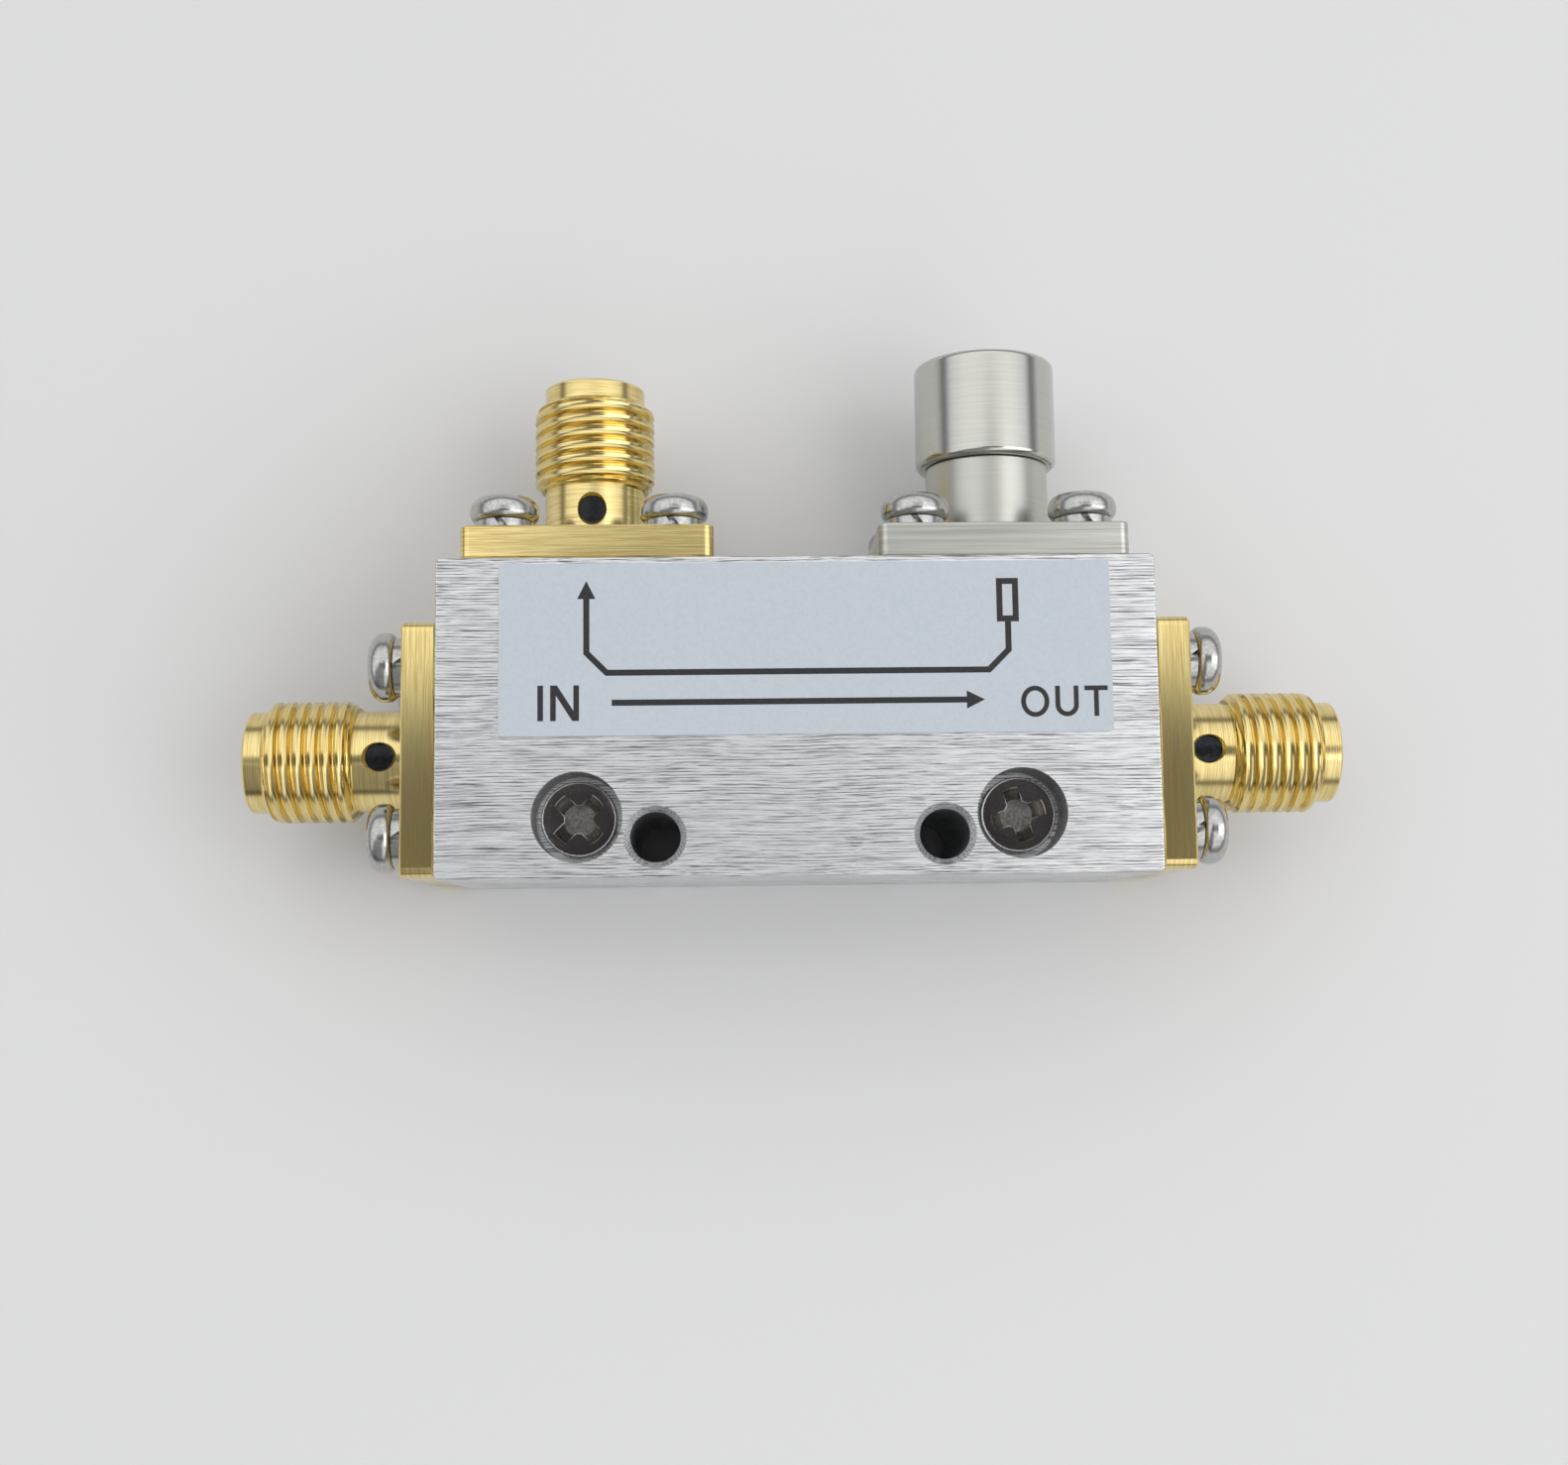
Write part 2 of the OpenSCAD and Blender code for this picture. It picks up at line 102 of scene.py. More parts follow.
# Broken edges, and the angles from which edges stay sharp
EDGE_BREAK = 0.1 * MM
HEAD_BREAK = 0.05 * MM
HEAD_BAND = 0.02 * MM
OUTER_SHARE = 0.985
SHELL_ANGLE = math.radians(32)
CRISP_ANGLE = math.radians(30)
HEAD_ANGLE = math.radians(55)
FLAT_ANGLE = math.radians(0.5)

# Brushed lines on the housing, to the millimetre along and across them
LONG_LINES = (0.2, 18)
SHORT_LINES = (0.7, 32)
CUTS_ACROSS = 6.5
WAVES_PER_MM = 0.16
WAVE_DEPTH = 0.3 * MM

# Most values of a noise lie between these
NOISE_LOW = 0.35
NOISE_HIGH = 0.65

# Depth below a sunk screw's face over which its colour runs from painted shade on the recess walls to a
# painted highlight on its edges
PAINTED_LIGHT_DEPTH = 0.3 * MM

# Print on the label
INK_T = 0.01 * MM
PRINT_BASE = 0.75 * MM
IN_H = 1.77 * MM
IN_INSET = 1.94 * MM
OUT_H = 1.53 * MM
OUT_INSET = 4.6 * MM
LINE_W = 0.3 * MM
LINE_BEND = 1 * MM
LINES_APART = 1.5 * MM
ARROW_HEAD = 0.9 * MM
MAIN_START = 5.6 * MM
MAIN_END = 6.4 * MM
PLAN_MARGIN = 0.9 * MM
LOAD_MARK_W = 1.1 * MM
LOAD_MARK_H = 2.2 * MM


# Objects and meshes

def add_object(name, data):
    """A new object in the scene, from a mesh, a lamp or a camera."""
    made = bpy.data.objects.new(name, data)
    bpy.context.scene.collection.objects.link(made)
    return made


def piece(name, mesh, place=Matrix()):
    """A new object that belongs to the part and rides on its only body."""
    made = add_object(name, mesh)
    made.matrix_world = place
    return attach(made, ROOT)


def mesh_from(name, bm):
    """Mesh of a finished shape, with its faces turned outwards."""
    bmesh.ops.recalc_face_normals(bm, faces=bm.faces)
    mesh = bpy.data.meshes.new(name)
    bm.to_mesh(mesh)
    bm.free()
    return mesh


def join_points(bm, apart):
    """Joins points no further apart than this, and drops what has lost its length."""
    bmesh.ops.remove_doubles(bm, verts=bm.verts, dist=apart)
    bmesh.ops.dissolve_degenerate(bm, edges=bm.edges, dist=NO_LENGTH)


def skin(name, rows):
    """A closed mesh through rows of points, capped at both ends. Each row ends on its first point."""
    bm = bmesh.new()
    grid = [[bm.verts.new(point) for point in row] for row in rows]
    for low, high in zip(grid, grid[1:]):
        for i in range(len(low) - 1):
            bm.faces.new((low[i], low[i + 1], high[i + 1], high[i]))
    join_points(bm, SAME_POINT)
    bmesh.ops.holes_fill(bm, edges=[e for e in bm.edges if e.is_boundary], sides=0)
    return mesh_from(name, bm)


def circle(radius, z, sides=SIDES):
    """One closed row of points round the Z axis."""
    angles = [math.tau * i / sides for i in range(sides + 1)]
    return [(radius * math.cos(a), radius * math.sin(a), z) for a in angles]


def turned(profile, sides=SIDES):
    """Rows of a turned solid from its profile of (radius, z) pairs."""
    return [circle(radius, z, sides) for radius, z in profile]


def square_loop(size, corner, z, inset=0.0, steps=8):
    """One closed row round a square with round corners, drawn in by an inset."""
    half = size / 2 - corner
    radius = corner - inset
    loop = []
    for quarter in range(4):
        middle = math.tau * (quarter + 0.5) / 4
        centre = Vector((math.cos(middle), math.sin(middle))) * half * math.sqrt(2)
        for step in range(steps + 1):
            a = math.tau * (quarter + step / steps) / 4
            loop.append((centre.x + radius * math.cos(a), centre.y + radius * math.sin(a), z))
    return loop + loop[:1]


def combined(name, start, steps):
    """Mesh of a solid after a chain of boolean steps, each an operation and a tool mesh."""
    body = add_object(name, start)
    tools = []
    for operation, mesh in steps:
        tool = add_object(mesh.name, mesh)
        tools.append(tool)
        cut = body.modifiers.new(operation, "BOOLEAN")
        cut.operation = operation
        cut.solver = "EXACT"
        cut.object = tool
    graph = bpy.context.evaluated_depsgraph_get()
    made = bpy.data.meshes.new_from_object(body.evaluated_get(graph))
    made.name = name
    bm = bmesh.new()
    bm.from_mesh(made)
    join_points(bm, 2 * SAME_POINT)
    bm.to_mesh(made)
    bm.free()
    for spare in [body, *tools]:
        bpy.data.objects.remove(spare)
    return made


# Jack shells, with the thread that the solids leave out

def port_matrix(port):
    """Local Z points out of a port and local Y up, from the middle of its flange's seat."""
    out = Vector(MOUNTS[f"{port}_thread"]["axis"])
    low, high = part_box(f"{port}_shell")
    reach = abs((high - low).dot(out)) / 2
    up = Vector((0, 0, 1))
    turn = Matrix((up.cross(out), up, out)).transposed()
    return Matrix.Translation((low + high) / 2 - out * reach) @ turn.to_4x4()


def local_box(port, node):
    """Lowest and highest corner of a node in a port's own directions."""
    inverse = port_matrix(port).inverted()
    ends = [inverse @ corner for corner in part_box(node)]
    return Vector(map(min, *ends)), Vector(map(max, *ends))


def groove(phase):
    """Depth of the thread's groove as a share, by its place in one pitch: narrow root, wide round crest."""
    away = abs((phase + 0.5) % 1.0 - 0.5)
    flank = min(max((away - GROOVE_ROOT) / GROOVE_FLANK, 0.0), 1.0)
    crown = CREST_FALL * max(1.0 - (0.5 - away) / CREST_HALF, 0.0) ** 2
    return 1.0 - flank * (1.0 - crown)


def thread_rows(start, end, crest):
    """Rows that follow the helix, cut square at both ends and chamfered there."""
    root = crest - THREAD_LEAD
    count = math.ceil((end - start) / THREAD_PITCH * ROWS_PER_PITCH)
    rows = []
    for j in range(-ROWS_PER_PITCH, count + ROWS_PER_PITCH + 1):
        cut_r = crest - THREAD_DEPTH * groove(j / ROWS_PER_PITCH)
        row = []
        for i in range(SIDES + 1):
            a = math.tau * i / SIDES
            z = start + THREAD_PITCH * (j / ROWS_PER_PITCH + i / SIDES)
            z = min(max(z, start), end)
            radius = min(cut_r, root + z - start, root + end - z)
            row.append((radius * math.cos(a), radius * math.sin(a), z))
        rows.append(row)
    return rows


def shell_mesh(port):
    """Flange, neck, thread, nose and mouth in one piece, in the port's own directions."""
    shell_high = local_box(port, f"{port}_shell")[1]
    mouth_end = shell_high.z
    flange = shell_high.x * 2
    flange_t = local_box(port, f"{port}_washers")[0].z
    resin_low, resin_high = local_box(port, f"{port}_epoxy")
    bore_r = local_box(port, f"{port}_insulator")[1].x
    thread = MOUNTS[f"{port}_thread"]["dims"]
    mouth = MOUNTS[f"{port}_mouth"]["dims"]
    crest = thread["r_mm"] * MM
    middle = (port_matrix(port).inverted() @ Vector(MOUNTS[f"{port}_thread"]["pos_m"])).z
    start = middle - thread["length_mm"] * MM / 2 - THREAD_LEAD
    end = middle + thread["length_mm"] * MM / 2 + THREAD_LEAD
    mouth_r = mouth["r_mm"] * MM
    mouth_floor = mouth_end - mouth["length_mm"] * MM

    rod = skin("rod", [
        circle(NECK_R, flange_t / 2),
        circle(NECK_R, start),
        *thread_rows(start, end, crest),
        circle(NOSE_R, end),
        circle(NOSE_R, mouth_end - EDGE_BREAK),
        circle(NOSE_R - EDGE_BREAK, mouth_end),
    ])
    plate = skin("plate", [
        square_loop(flange, FLANGE_CORNER, 0, EDGE_BREAK),
        square_loop(flange, FLANGE_CORNER, EDGE_BREAK),
        square_loop(flange, FLANGE_CORNER, flange_t - EDGE_BREAK),
        square_loop(flange, FLANGE_CORNER, flange_t, EDGE_BREAK),
    ])
    bore = skin("bore", turned([
        (bore_r, -PAST),
        (bore_r, mouth_floor),
        (mouth_r, mouth_floor),
        (mouth_r, mouth_end - MOUTH_LEAD),
        (mouth_r + MOUTH_LEAD + PAST, mouth_end + PAST),
    ]))
    resin_r = (resin_high.x - resin_low.x) / 2
    flare = 2 * RESIN_LEAD
    resin_hole = skin("resin_hole", turned([
        (resin_r + flare, -NECK_R - RESIN_LEAD),
        (resin_r, -NECK_R + RESIN_LEAD),
        (resin_r, NECK_R - RESIN_LEAD),
        (resin_r + flare, NECK_R + RESIN_LEAD),
    ], HOLE_SIDES))
    resin_z = (resin_low.z + resin_high.z) / 2
    resin_hole.transform(Matrix.Translation((0, 0, resin_z)) @ Matrix.Rotation(math.pi / 2, 4, "X"))
    steps = [("UNION", plate), ("DIFFERENCE", bore), ("DIFFERENCE", resin_hole)]
    screw_profile = [(SCREW_HOLE_R, -PAST), (SCREW_HOLE_R, flange_t + PAST)]
    for sx in (-1, 1):
        for sy in (-1, 1):
            hole = skin("screw_hole", turned(screw_profile, HOLE_SIDES))
            hole.transform(Matrix.Translation((sx * FLANGE_PITCH / 2, sy * FLANGE_PITCH / 2, 0)))
            steps.append(("DIFFERENCE", hole))
    mesh = combined("shell", rod, steps)
    mesh.shade_smooth()
    mesh.set_sharp_from_angle(angle=SHELL_ANGLE)
    return mesh


def add_shells(material):
    """The three jack shells, all alike, each in place of its plain solid."""
    pattern = shell_mesh(JACKS[0])
    pattern.materials.clear()
    pattern.materials.append(material)
    for port in JACKS:
        shell = piece(f"{port}_threaded_shell", pattern.copy(), port_matrix(port))
        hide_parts(f"{port}_shell")


# Nodes of shaders and edge marks

def set_inputs(tree, node, inputs):
    """Sets a node's inputs to plain values, or links them to the outputs of other nodes."""
    for name, value in inputs.items():
        if isinstance(value, bpy.types.NodeSocket):
            tree.links.new(value, node.inputs[name])
        else:
            node.inputs[name].default_value = value


def add_node(tree, kind, inputs=None, operation=None):
    """A new node with its inputs and, where it has one, its operation."""
    node = tree.nodes.new(kind)
    if operation:
        node.operation = operation
    set_inputs(tree, node, inputs or {})
    return node


def calc(tree, operation, *values):
    """Result of one operation on values."""
    return add_node(tree, "ShaderNodeMath", dict(enumerate(values)), operation).outputs["Value"]


def object_place(tree):
    """A point's place on the object."""
    return add_node(tree, "ShaderNodeTexCoord").outputs["Object"]


def swayed(tree, where):
    """A place moved sideways in gentle waves, so that lines along X don't run quite straight."""
    slow = add_node(tree, "ShaderNodeTexNoise", {
        "Vector": where,
        "Scale": WAVES_PER_MM / MM,
        "Detail": 1.0,
    })
    return add_node(tree, "ShaderNodeVectorMath", {
        0: slow.outputs["Color"],
        1: (0, WAVE_DEPTH, WAVE_DEPTH),
        2: where,
    }, "MULTIPLY_ADD").outputs["Vector"]


def scaled(tree, where, scale):
    """A place scaled along each axis."""
    return add_node(tree, "ShaderNodeMapping", {"Vector": where, "Scale": scale}).outputs["Vector"]


def grain(tree, where, per_mm, detail=3.0, roughness=0.6):
    """Noise with so many grains to the millimetre along each axis."""
    return add_node(tree, "ShaderNodeTexNoise", {
        "Vector": scaled(tree, where, [n / MM for n in per_mm]),
        "Scale": 1.0,
        "Detail": detail,
        "Roughness": roughness,
    }).outputs["Fac"]


def even_lines(tree, where, per_mm):
    """Even lines side by side, so many to the millimetre along each axis, with slightly uneven gaps."""
    wave_length = math.tau / 10
    wave = add_node(tree, "ShaderNodeTexWave", {
        "Vector": scaled(tree, where, [n * wave_length / MM for n in per_mm]),
        "Scale": 1.0,
        "Distortion": 2.0,
        "Detail": 1.0,
    })
    wave.bands_direction = "DIAGONAL"
    return wave.outputs["Fac"]


def spread(tree, value, low, high, to_low, to_high):
    """Maps a stretch of a value on another, held at its ends."""
    return add_node(tree, "ShaderNodeMapRange", {
        "Value": value,
        "From Min": low,
        "From Max": high,
        "To Min": to_low,
        "To Max": to_high,
    }).outputs["Result"]


def shades(tree, value, stops):
    """Colours along a value, from (place, colour) stops."""
    node = add_node(tree, "ShaderNodeValToRGB", {"Fac": value})
    ramp = node.color_ramp
    while len(ramp.elements) < len(stops):
        ramp.elements.new(0.5)
    for element, (place, colour) in zip(ramp.elements, stops):
        element.position = place
        element.color = (*colour, 1)
    return node.outputs["Color"]


def blend(tree, share, first, second):
    """Mix of two values by a share, which is a number or a value."""
    return add_node(tree, "ShaderNodeMix", {"Factor": share, "A": first, "B": second}).outputs["Result"]


def relief(tree, value, depth, strength):
    """Normals of a bump of a real depth."""
    bump = add_node(tree, "ShaderNodeBump", {"Height": value, "Distance": depth, "Strength": strength})
    return bump.outputs["Normal"]


def faces_along_x(tree):
    """One where a face looks mostly along X, and zero elsewhere."""
    normal = add_node(tree, "ShaderNodeNewGeometry").outputs["Normal"]
    x = add_node(tree, "ShaderNodeSeparateXYZ", {"Vector": normal}).outputs["X"]
    mostly = 0.8
    return calc(tree, "GREATER_THAN", calc(tree, "ABSOLUTE", x), mostly)


# Materials

def new_material(name):
    """A material with a shader, and its node tree."""
    material = bpy.data.materials.new(name)
    material.use_nodes = True
    return material, material.node_tree


def coated(material, inputs):
    """A material whose shader has these inputs."""
    tree = material.node_tree
    set_inputs(tree, tree.nodes["Principled BSDF"], inputs)
    return material


def brushed_aluminium():
    """Fine lines along the housing, and across it on its ends."""
    material, tree = new_material("brushed_aluminium")
    where = swayed(tree, object_place(tree))
    ends = faces_along_x(tree)
    along, across = LONG_LINES
    long_lines = blend(
        tree, ends,
        grain(tree, where, (along, across, across), 4, 0.65),
        grain(tree, where, (across, along, across), 4),
    )
    along, across = SHORT_LINES
    short_lines = blend(
        tree, ends,
        grain(tree, where, (along, across, across), 2),
        grain(tree, where, (across, along, across), 2),
    )
    cuts = blend(
        tree, ends,
        even_lines(tree, where, (0, CUTS_ACROSS, CUTS_ACROSS)),
        even_lines(tree, where, (0, 0, CUTS_ACROSS)),
    )
    lines = blend(tree, 0.08, blend(tree, 0.45, long_lines, short_lines), cuts)
    return coated(material, {
        "Metallic": 1.0,
        "Base Color": shades(tree, lines, [
            (0.41, (0.17, 0.17, 0.18)),
            (0.465, (0.54, 0.55, 0.56)),
            (0.51, (0.80, 0.81, 0.82)),
            (0.555, (0.97, 0.97, 0.98)),
        ]),
        "Roughness": spread(tree, lines, 0.38, 0.60, 0.48, 0.30),
        "Normal": relief(tree, lines, 0.03 * MM, 0.5),
    })


def gold_plate():
    """Gold over the fine lines of turning and milling, whose roughness varies with them."""
    material, tree = new_material("gold_plate")
    lines = grain(tree, object_place(tree), (0.4, 0.4, 18))
    return coated(material, {
        "Metallic": 1.0,
        "Base Color": shades(tree, lines, [
            (NOISE_LOW, (0.63, 0.47, 0.18)),
            (0.6, (0.89, 0.74, 0.34)),
        ]),
        "Roughness": spread(tree, lines, NOISE_LOW, NOISE_HIGH, 0.2, 0.12),
        "Normal": relief(tree, lines, 0.004 * MM, 0.4),
    })


def load_steel():
    """Turned steel: a bright cap, a duller body, and coarser lines where its flange is milled."""
    material, tree = new_material("passivated_steel")
    where = object_place(tree)
    y = add_node(tree, "ShaderNodeSeparateXYZ", {"Vector": where}).outputs["Y"]
    step = 0.02 * MM
    flange_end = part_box("load_washers")[0].y
    flange = spread(tree, y, flange_end - step, flange_end, 1.0, 0.0)
    cap_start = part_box("load_cap")[0].y
    body = spread(tree, y, cap_start - step, cap_start, 1.0, 0.0)
    fine_low = 0.375
    fine_high = 0.54
    fine = spread(tree, grain(tree, where, (0.25, 22, 0.25)), NOISE_LOW, 0.6, fine_low, fine_high)
    coarse = spread(tree, grain(tree, where, (0.12, 6, 0.12)), NOISE_LOW, NOISE_HIGH, 0.0, 1.0)
    lines = blend(tree, flange, fine, coarse)
    bright = spread(tree, lines, fine_low, fine_high, 0.185, 0.155)
    dull = spread(tree, lines, 0.0, 1.0, 0.4, 0.28)
    return coated(material, {
        "Metallic": 1.0,
        "Base Color": shades(tree, lines, [
            (0.0, (0.44, 0.44, 0.40)),
            (1.0, (0.68, 0.68, 0.64)),
        ]),
        "Roughness": blend(tree, body, bright, dull),
        "Normal": relief(tree, lines, 0.0006 * MM, 0.4),
    })


def speckled(name, dark, light, roughness, grains, metallic=0.0, depth=0.004 * MM, gloss=0.5):
    """An even material with slight mottling."""
    material, tree = new_material(name)
    spots = grain(tree, object_place(tree), (grains, grains, grains), 4)
    vary = 0.05
    return coated(material, {
        "Metallic": metallic,
        "Specular IOR Level": gloss,
        "Base Color": shades(tree, spots, [(NOISE_LOW, dark), (NOISE_HIGH, light)]),
        "Roughness": spread(tree, spots, NOISE_LOW, NOISE_HIGH, roughness + vary, roughness - vary),
        "Normal": relief(tree, spots, depth, 0.3),
    })


def sunk_screw():
    """Steel with a mottled head: its face painted dark for the dark reflection over it, a painted highlight
    along its edges, painted shade on the recess walls, and paler deep in the recess.
    """
    material, tree = new_material("screw_steel_painted_light")
    where = object_place(tree)
    z = add_node(tree, "ShaderNodeSeparateXYZ", {"Vector": where}).outputs["Z"]
    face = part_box("closing_screws")[1].z
    height = spread(tree, z, face - PAINTED_LIGHT_DEPTH, face, 0.0, 1.0)
    spots = grain(tree, where, (7, 7, 7), 4)
    return coated(material, {
        "Metallic": 1.0,
        # Colour by height below the face: paler deep in the recess, painted shade on its walls, a painted
        # highlight band on the broken edges, and the face painted dark for the dark reflection over it
        "Base Color": shades(tree, blend(tree, 0.94, spots, height), [
            (0.03, (0.32, 0.30, 0.28)),
            (0.45, (0.16, 0.15, 0.14)),
            (0.68, (0.14, 0.13, 0.13)),
            (0.74, (0.66, 0.65, 0.64)),
            (0.945, (0.60, 0.59, 0.58)),
            (0.959, (0.06, 0.055, 0.055)),
            (0.981, (0.13, 0.12, 0.12)),
        ]),
        "Roughness": spread(tree, spots, NOISE_LOW, NOISE_HIGH, 0.32, 0.2),
        "Normal": relief(tree, spots, 0.004 * MM, 0.3),
    })


def make_materials():
    """One material for each slot of the record."""
    return {
        "housing": brushed_aluminium(),
        "gold": gold_plate(),
        "load": load_steel(),
        "fastener": speckled("bright_steel", (0.42, 0.42, 0.41), (0.55, 0.55, 0.54), 0.2, 5, 1.0),
        # The closing screws' colour holds painted light: a dark face for a dark reflection, painted
        # highlights on the edges and painted shade in the recess
        "dark_screw": sunk_screw(),
        "label": speckled("label_film", (0.55, 0.60, 0.65), (0.59, 0.64, 0.69), 0.38, 5, depth=0.002 * MM),
        "resin": speckled(
            "black_resin", (0.004, 0.006, 0.009), (0.014, 0.017, 0.022),
            0.14, 4, depth=0.06 * MM, gloss=0.25,
        ),
        "ptfe": speckled("white_insulator", (0.82, 0.82, 0.79), (0.9, 0.9, 0.88), 0.5, 4),
        "board": speckled("board", (0.66, 0.63, 0.5), (0.76, 0.73, 0.6), 0.6, 6),
        "film": speckled("film", (0.42, 0.28, 0.07), (0.5, 0.34, 0.1), 0.5, 5),
        "copper": speckled("copper", (0.68, 0.34, 0.2), (0.8, 0.44, 0.28), 0.35, 8, 1.0),
        "rod": speckled("ceramic", (0.74, 0.74, 0.7), (0.82, 0.82, 0.78), 0.55, 8),
    }


def dress_nodes(materials):
    """Gives each solid the material that the record names for it."""
    for row in RECORD["subparts"]:
        NODES[row["node"]].material_slots[0].material = materials[row["material_slot"]]


# Broken edges on the solids

def edge_marks(name, scale, limit, least=CRISP_ANGLE):
    """Keeps sharp edges crisp, and marks those past a scaled place and a least angle for the bevel."""
    group = bpy.data.node_groups.new(name, "GeometryNodeTree")
    for way in ("INPUT", "OUTPUT"):
        group.interface.new_socket("Geometry", in_out=way, socket_type="NodeSocketGeometry")
    start = add_node(group, "NodeGroupInput")
    place = add_node(group, "GeometryNodeInputPosition")
    share = add_node(group, "ShaderNodeVectorMath", {0: place.outputs[0], 1: scale}, "MULTIPLY")
    size = add_node(group, "ShaderNodeVectorMath", {0: share.outputs[0]}, "ABSOLUTE")
    x, y, z = add_node(group, "ShaderNodeSeparateXYZ", {0: size.outputs[0]}).outputs
    most = calc(group, "MAXIMUM", calc(group, "MAXIMUM", x, y), z)
    angle = add_node(group, "GeometryNodeInputMeshEdgeAngle").outputs["Unsigned Angle"]
    outer = calc(group, "GREATER_THAN", most, limit)
    steep = calc(group, "GREATER_THAN", angle, least)
    sharp = calc(group, "GREATER_THAN", angle, CRISP_ANGLE)
    marked = add_node(group, "GeometryNodeStoreNamedAttribute", {
        "Geometry": start.outputs[0],
        "Name": "bevel_weight_edge",
        "Value": calc(group, "MULTIPLY", outer, steep),
    })
    marked.domain = "EDGE"
    crisp = add_node(group, "GeometryNodeSetMeshNormal", {
        "Mesh": marked.outputs[0],
        "Edge Sharpness": sharp,
    })
    add_node(group, "NodeGroupOutput", {0: crisp.outputs[0]})
    return group


def break_edges(node, width, marks):
    """Rounds a node's marked edges, as a deburred piece has them."""
    stack = NODES[node].modifiers
    weld = stack.new("weld", "WELD")
    weld.merge_threshold = SAME_POINT
    flat = stack.new("flat", "DECIMATE")
    flat.decimate_type = "DISSOLVE"
    flat.angle_limit = FLAT_ANGLE
    mark = stack.new("marks", "NODES")
    mark.node_group = marks
    bevel = stack.new("edge", "BEVEL")
    bevel.width = width
    bevel.segments = 2
    bevel.limit_method = "WEIGHT"
    bevel.use_clamp_overlap = False
    bevel.loop_slide = True
    bevel.harden_normals = True


def break_all_edges():
    """The housing's outer edges, all of the load body's, and those round the closing screws' faces."""
    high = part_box("upper_housing")[1]
    sides = edge_marks("outer_sides", (1 / high.x, 1 / high.y, 0), OUTER_SHARE)
    break_edges("upper_housing", EDGE_BREAK, sides)
    break_edges("lower_housing", EDGE_BREAK, sides)
    break_edges("load_body", EDGE_BREAK, edge_marks("every_edge", (0, 0, 1), -1))
    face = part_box("closing_screws")[1].z
    head_face = edge_marks("head_face", (0, 0, 1 / face), 1 - HEAD_BAND / face, HEAD_ANGLE)
    break_edges("closing_screws", HEAD_BREAK, head_face)


# Print: port marks and a plain plan of the two lines inside

def prism(name, outlines, material):
    """Flat print on the label from outlines: each a closed loop, or a ring between two such loops."""
    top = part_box("label")[1].z
    bm = bmesh.new()
    for loops in outlines:
        levels = [
            [[bm.verts.new((x, y, z)) for x, y in loop] for loop in loops]
            for z in (top, top + INK_T)
        ]
        steps = [(i, (i + 1) % len(loops[0])) for i in range(len(loops[0]))]
        for low, high in zip(*levels):
            for i, k in steps:
                bm.faces.new((low[i], low[k], high[k], high[i]))
        for level in levels:
            if len(level) == 1:
                bm.faces.new(level[0])
            else:
                for i, k in steps:
                    bm.faces.new((level[0][i], level[0][k], level[1][k], level[1][i]))
    mesh = mesh_from(name, bm)
    mesh.materials.append(material)
    return piece(name, mesh)


def ribbon(points, width):
    """Outline of a line of even width through points, with mitred corners."""
    spots = [Vector(p) for p in points]
    sides = []
    for i, spot in enumerate(spots):
        before = (spot - spots[i - 1]).normalized() if i else None
        after = (spots[i + 1] - spot).normalized() if i + 1 < len(spots) else None
        ways = [w for w in (before, after) if w is not None]
        along = sum(ways, Vector((0, 0))).normalized()
        across = Vector((-along.y, along.x))
        reach = width / 2 / math.sqrt((1 + ways[0].dot(ways[-1])) / 2)
        sides.append((spot + across * reach, spot - across * reach))
    return [[a for a, _ in sides] + [b for _, b in reversed(sides)]]


def arrow(points, width, head):
    """Outline of a line through points that ends in a head as long as it is wide."""
    end = Vector(points[-1])
    along = (end - Vector(points[-2])).normalized()
    across = Vector((-along.y, along.x))
    neck = end - along * head
    loop = ribbon([*points[:-1], neck], width)[0]
    tip = [neck + across * head / 2, end, neck - across * head / 2]
    return [loop[:len(points)] + tip + loop[len(points):]]


def box_outline(x0, y0, x1, y1):
    """Outline of a box from its lower left and upper right corner."""
    return [[(x0, y0), (x1, y0), (x1, y1), (x0, y1)]]


def arc(x, y, rx, ry, start, end, steps=16):
    """Points on an ellipse from one angle to another, in degrees."""
    angles = [math.radians(start + (end - start) * i / steps) for i in range(steps + 1)]
    return [(x + rx * math.cos(a), y + ry * math.sin(a)) for a in angles]


# Letters as outlines, one unit high on a line, with the width that each takes
STROKE = 0.155
LETTER_GAP = 0.2
HALF = STROKE / 2
LETTERS = {
    "I": (STROKE, box_outline(0, 0, STROKE, 1)),
    "N": (0.8, [[
        (0, 0), (STROKE, 0), (STROKE, 0.72), (0.8 - STROKE * 1.2, 0), (0.8, 0),
        (0.8, 1), (0.8 - STROKE, 1), (0.8 - STROKE, 0.28), (STROKE * 1.2, 1), (0, 1),
    ]]),
    "O": (0.92, [
        arc(0.46, 0.5, 0.46, 0.51, 0, 360, 48)[1:],
        arc(0.46, 0.5, 0.46 - STROKE, 0.51 - STROKE, 0, 360, 48)[1:],
    ]),
    "U": (0.76, ribbon(
        [(HALF, 1), *arc(0.38, 0.38, 0.38 - HALF, 0.38 - HALF, 180, 360), (0.76 - HALF, 1)], STROKE
    )),
    "T": (0.76, [[
        (0.38 - HALF, 0), (0.38 + HALF, 0), (0.38 + HALF, 1 - STROKE), (0.76, 1 - STROKE),
        (0.76, 1), (0, 1), (0, 1 - STROKE), (0.38 - HALF, 1 - STROKE),
    ]]),
}


def word_outlines(text, left, base, height):
    """Outlines of a word of a given height from its lower left corner."""
    outlines = []
    for letter in text:
        wide, loops = LETTERS[letter]
        outlines.append([[(left + x * height, base + y * height) for x, y in loop] for loop in loops])
        left += (wide + LETTER_GAP) * height
    return outlines


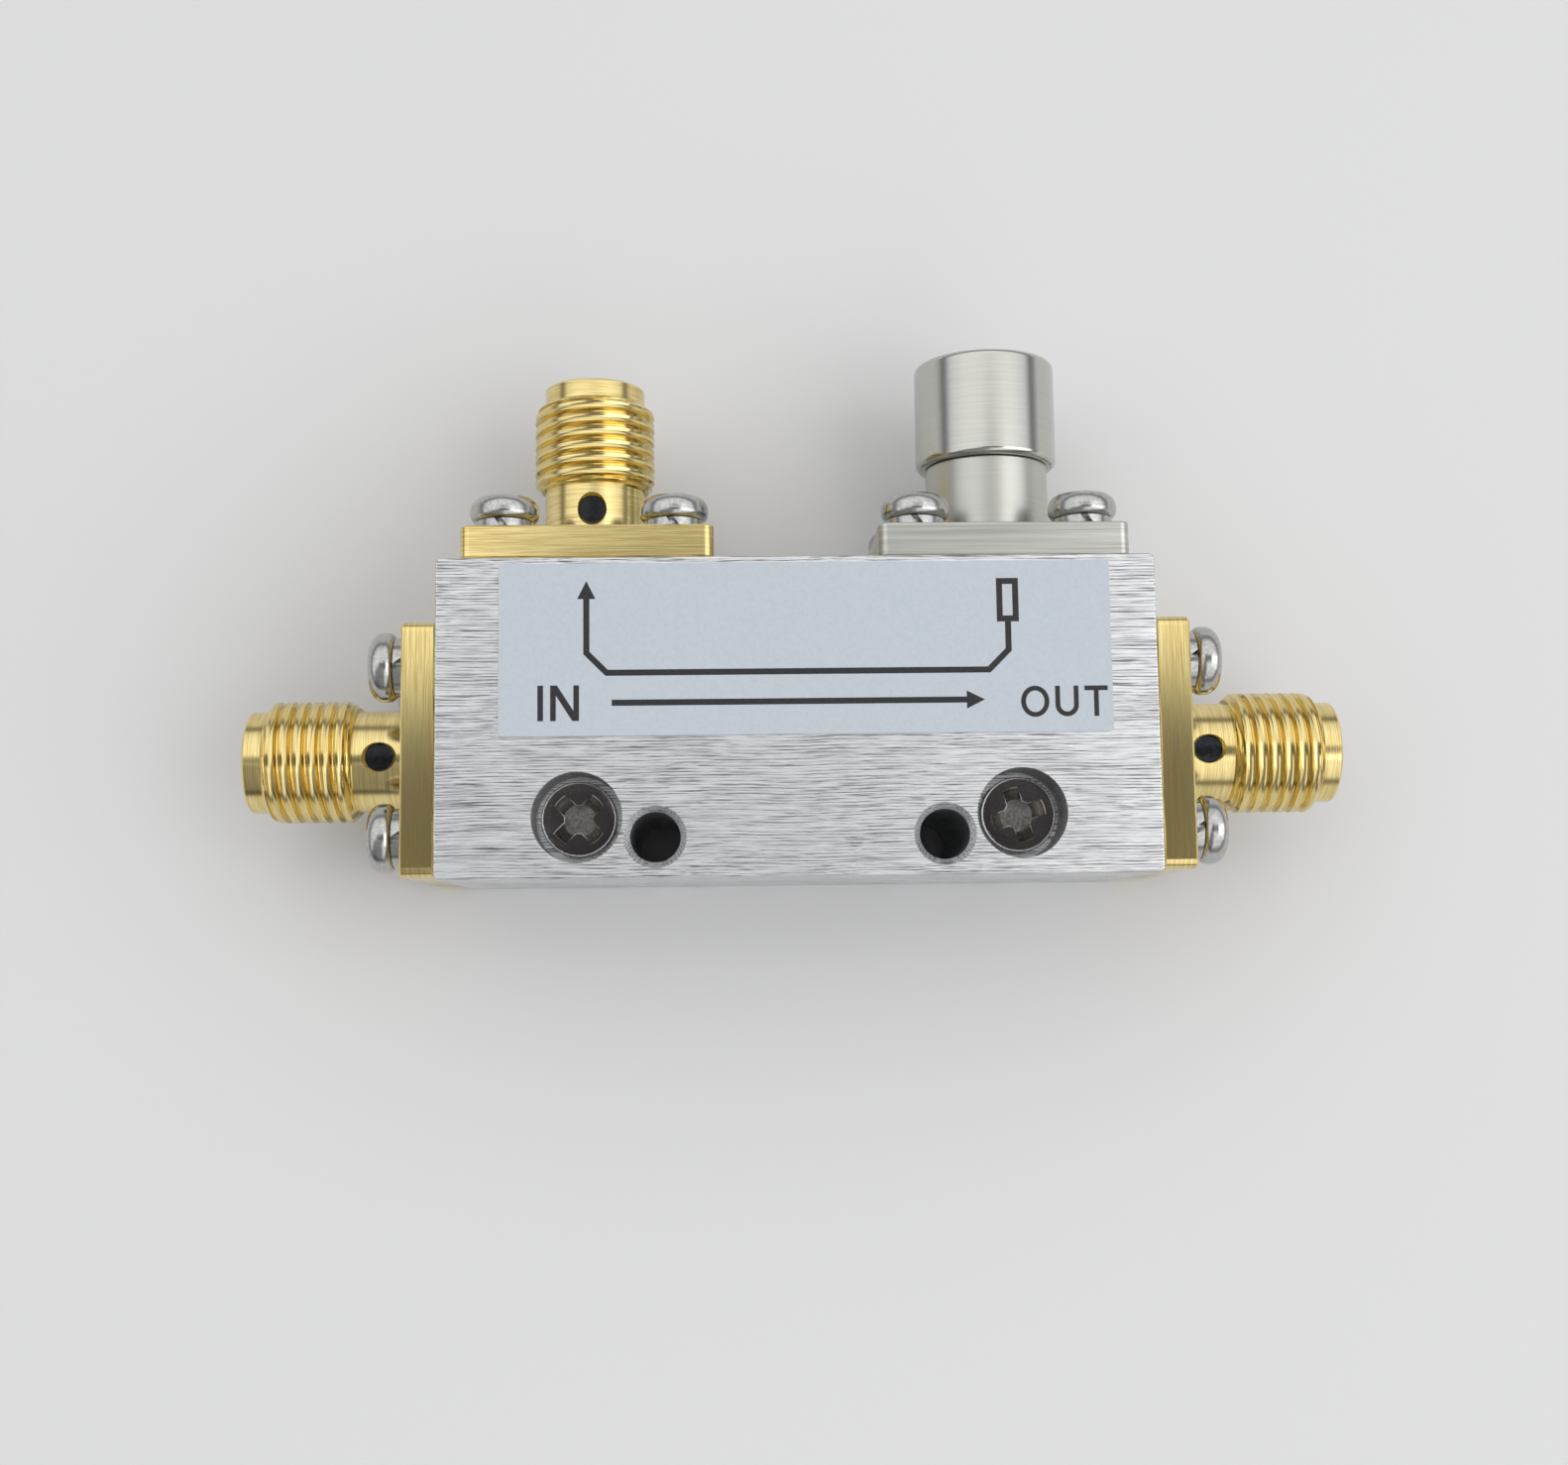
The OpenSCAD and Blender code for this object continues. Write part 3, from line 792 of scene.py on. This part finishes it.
def add_print(material):
    """Port marks, the main line, and the coupled line with the load at its start."""
    low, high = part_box("label")
    base = low.y + PRINT_BASE
    prism("print_in", word_outlines("IN", low.x + IN_INSET, base, IN_H), material)
    prism("print_out", word_outlines("OUT", high.x - OUT_INSET, base, OUT_H), material)

    main_y = base + IN_H / 2
    main_line = [(low.x + MAIN_START, main_y), (high.x - MAIN_END, main_y)]
    prism("print_main_line", [arrow(main_line, LINE_W, ARROW_HEAD)], material)

    port_x = abs(MOUNTS["coupled_thread"]["pos_m"][0])
    coupled_y = main_y + LINES_APART
    tip = high.y - PLAN_MARGIN
    load_low = tip - LOAD_MARK_H
    coupled_line = [
        (port_x, load_low),
        (port_x, coupled_y + LINE_BEND),
        (port_x - LINE_BEND, coupled_y),
        (-port_x + LINE_BEND, coupled_y),
        (-port_x, coupled_y + LINE_BEND),
        (-port_x, tip),
    ]
    prism("print_coupled_line", [arrow(coupled_line, LINE_W, ARROW_HEAD)], material)

    outer = LOAD_MARK_W / 2
    inner = outer - LINE_W
    prism("print_load", [
        box_outline(port_x - outer, load_low, port_x + outer, tip)
        + box_outline(port_x - inner, load_low + LINE_W, port_x + inner, tip - LINE_W),
    ], material)


# Stage: floor, light and camera

def add_floor():
    """A wide, pale, matt floor."""
    corners = [(x * FLOOR_HALF, y * FLOOR_HALF, 0) for x, y in ((-1, -1), (1, -1), (1, 1), (-1, 1))]
    mesh = bpy.data.meshes.new("floor")
    mesh.from_pydata(corners, [], [(0, 1, 2, 3)])
    material, _ = new_material("floor")
    coated(material, {"Base Color": (FLOOR_GREY, FLOOR_GREY, FLOOR_GREY, 1), "Roughness": 0.9})
    mesh.materials.append(material)
    floor = add_object("floor", mesh)


def shadow_patch(tree, way, centre, radii, level):
    """Strength of the sky that falls to a level inside an oval patch of directions."""
    oval = add_node(tree, "ShaderNodeMapping", {
        "Vector": way,
        "Location": (-centre[0] / radii[0], -centre[1] / radii[1], 0),
        "Scale": (1 / radii[0], 1 / radii[1], 0),
    })
    away = add_node(tree, "ShaderNodeVectorMath", {0: oval.outputs["Vector"]}, "LENGTH")
    return spread(tree, away.outputs["Value"], 0.75, 1.15, level, 1.0)


def add_world():
    """A bright ceiling over walls that darken above the floor, with two dim patches for metal to mirror."""
    world = bpy.data.worlds.new("studio")
    bpy.context.scene.world = world
    world.use_nodes = True
    tree = world.node_tree
    way = add_node(tree, "ShaderNodeTexCoord").outputs["Generated"]
    z = add_node(tree, "ShaderNodeSeparateXYZ", {"Vector": way}).outputs["Z"]
    overhead = shadow_patch(tree, way, (0.05, 0.0), (0.37, 0.24), 0.12)
    front_left = shadow_patch(tree, way, (-0.35, -0.55), (0.42, 0.5), 0.28)
    patches = calc(tree, "MINIMUM", overhead, front_left)
    clear = calc(tree, "MAXIMUM", patches, spread(tree, z, 0.05, 0.25, 1.0, 0.0))
    set_inputs(tree, tree.nodes["Background"], {
        "Color": shades(tree, z, [
            (0.02, (0.55, 0.55, 0.55)),
            (0.18, (0.19, 0.19, 0.19)),
            (0.26, (0.20, 0.20, 0.21)),
            (0.42, (0.78, 0.79, 0.81)),
            (0.75, (1.0, 1.0, 1.0)),
        ]),
        "Strength": spread(tree, clear, 0.0, 1.0, 0.0, SKY_LEVEL),
    })


def add_window():
    """A soft lamp to the right, as high as the photograph's highlights put it."""
    light = bpy.data.lights.new("window", "AREA")
    light.shape = "RECTANGLE"
    light.size = LAMP_W
    light.size_y = LAMP_H
    light.energy = LAMP_LEVEL
    lamp = add_object("window", light)
    way = Vector((math.sin(LAMP_LEAN), LAMP_Y, math.cos(LAMP_LEAN))).normalized()
    lamp.location = way * LAMP_AWAY
    lamp.rotation_euler = way.to_track_quat("Z", "Y").to_euler()


def add_camera():
    """The photograph's own view."""
    data = bpy.data.cameras.new("camera")
    data.sensor_fit = "HORIZONTAL"
    data.sensor_width = SENSOR
    data.lens = LENS
    data.clip_start = NEAR
    data.clip_end = FAR
    camera = add_object("camera", data)
    camera.location = CAMERA_AT
    camera.rotation_euler = CAMERA_TURN
    bpy.context.scene.camera = camera


materials = make_materials()
dress_nodes(materials)
add_shells(materials["gold"])
break_all_edges()
add_print(speckled("ink", (0.012, 0.012, 0.014), (0.024, 0.024, 0.026), 0.45, 6))
add_floor()
add_world()
add_window()
add_camera()
bpy.context.scene.view_settings.view_transform = "Standard"
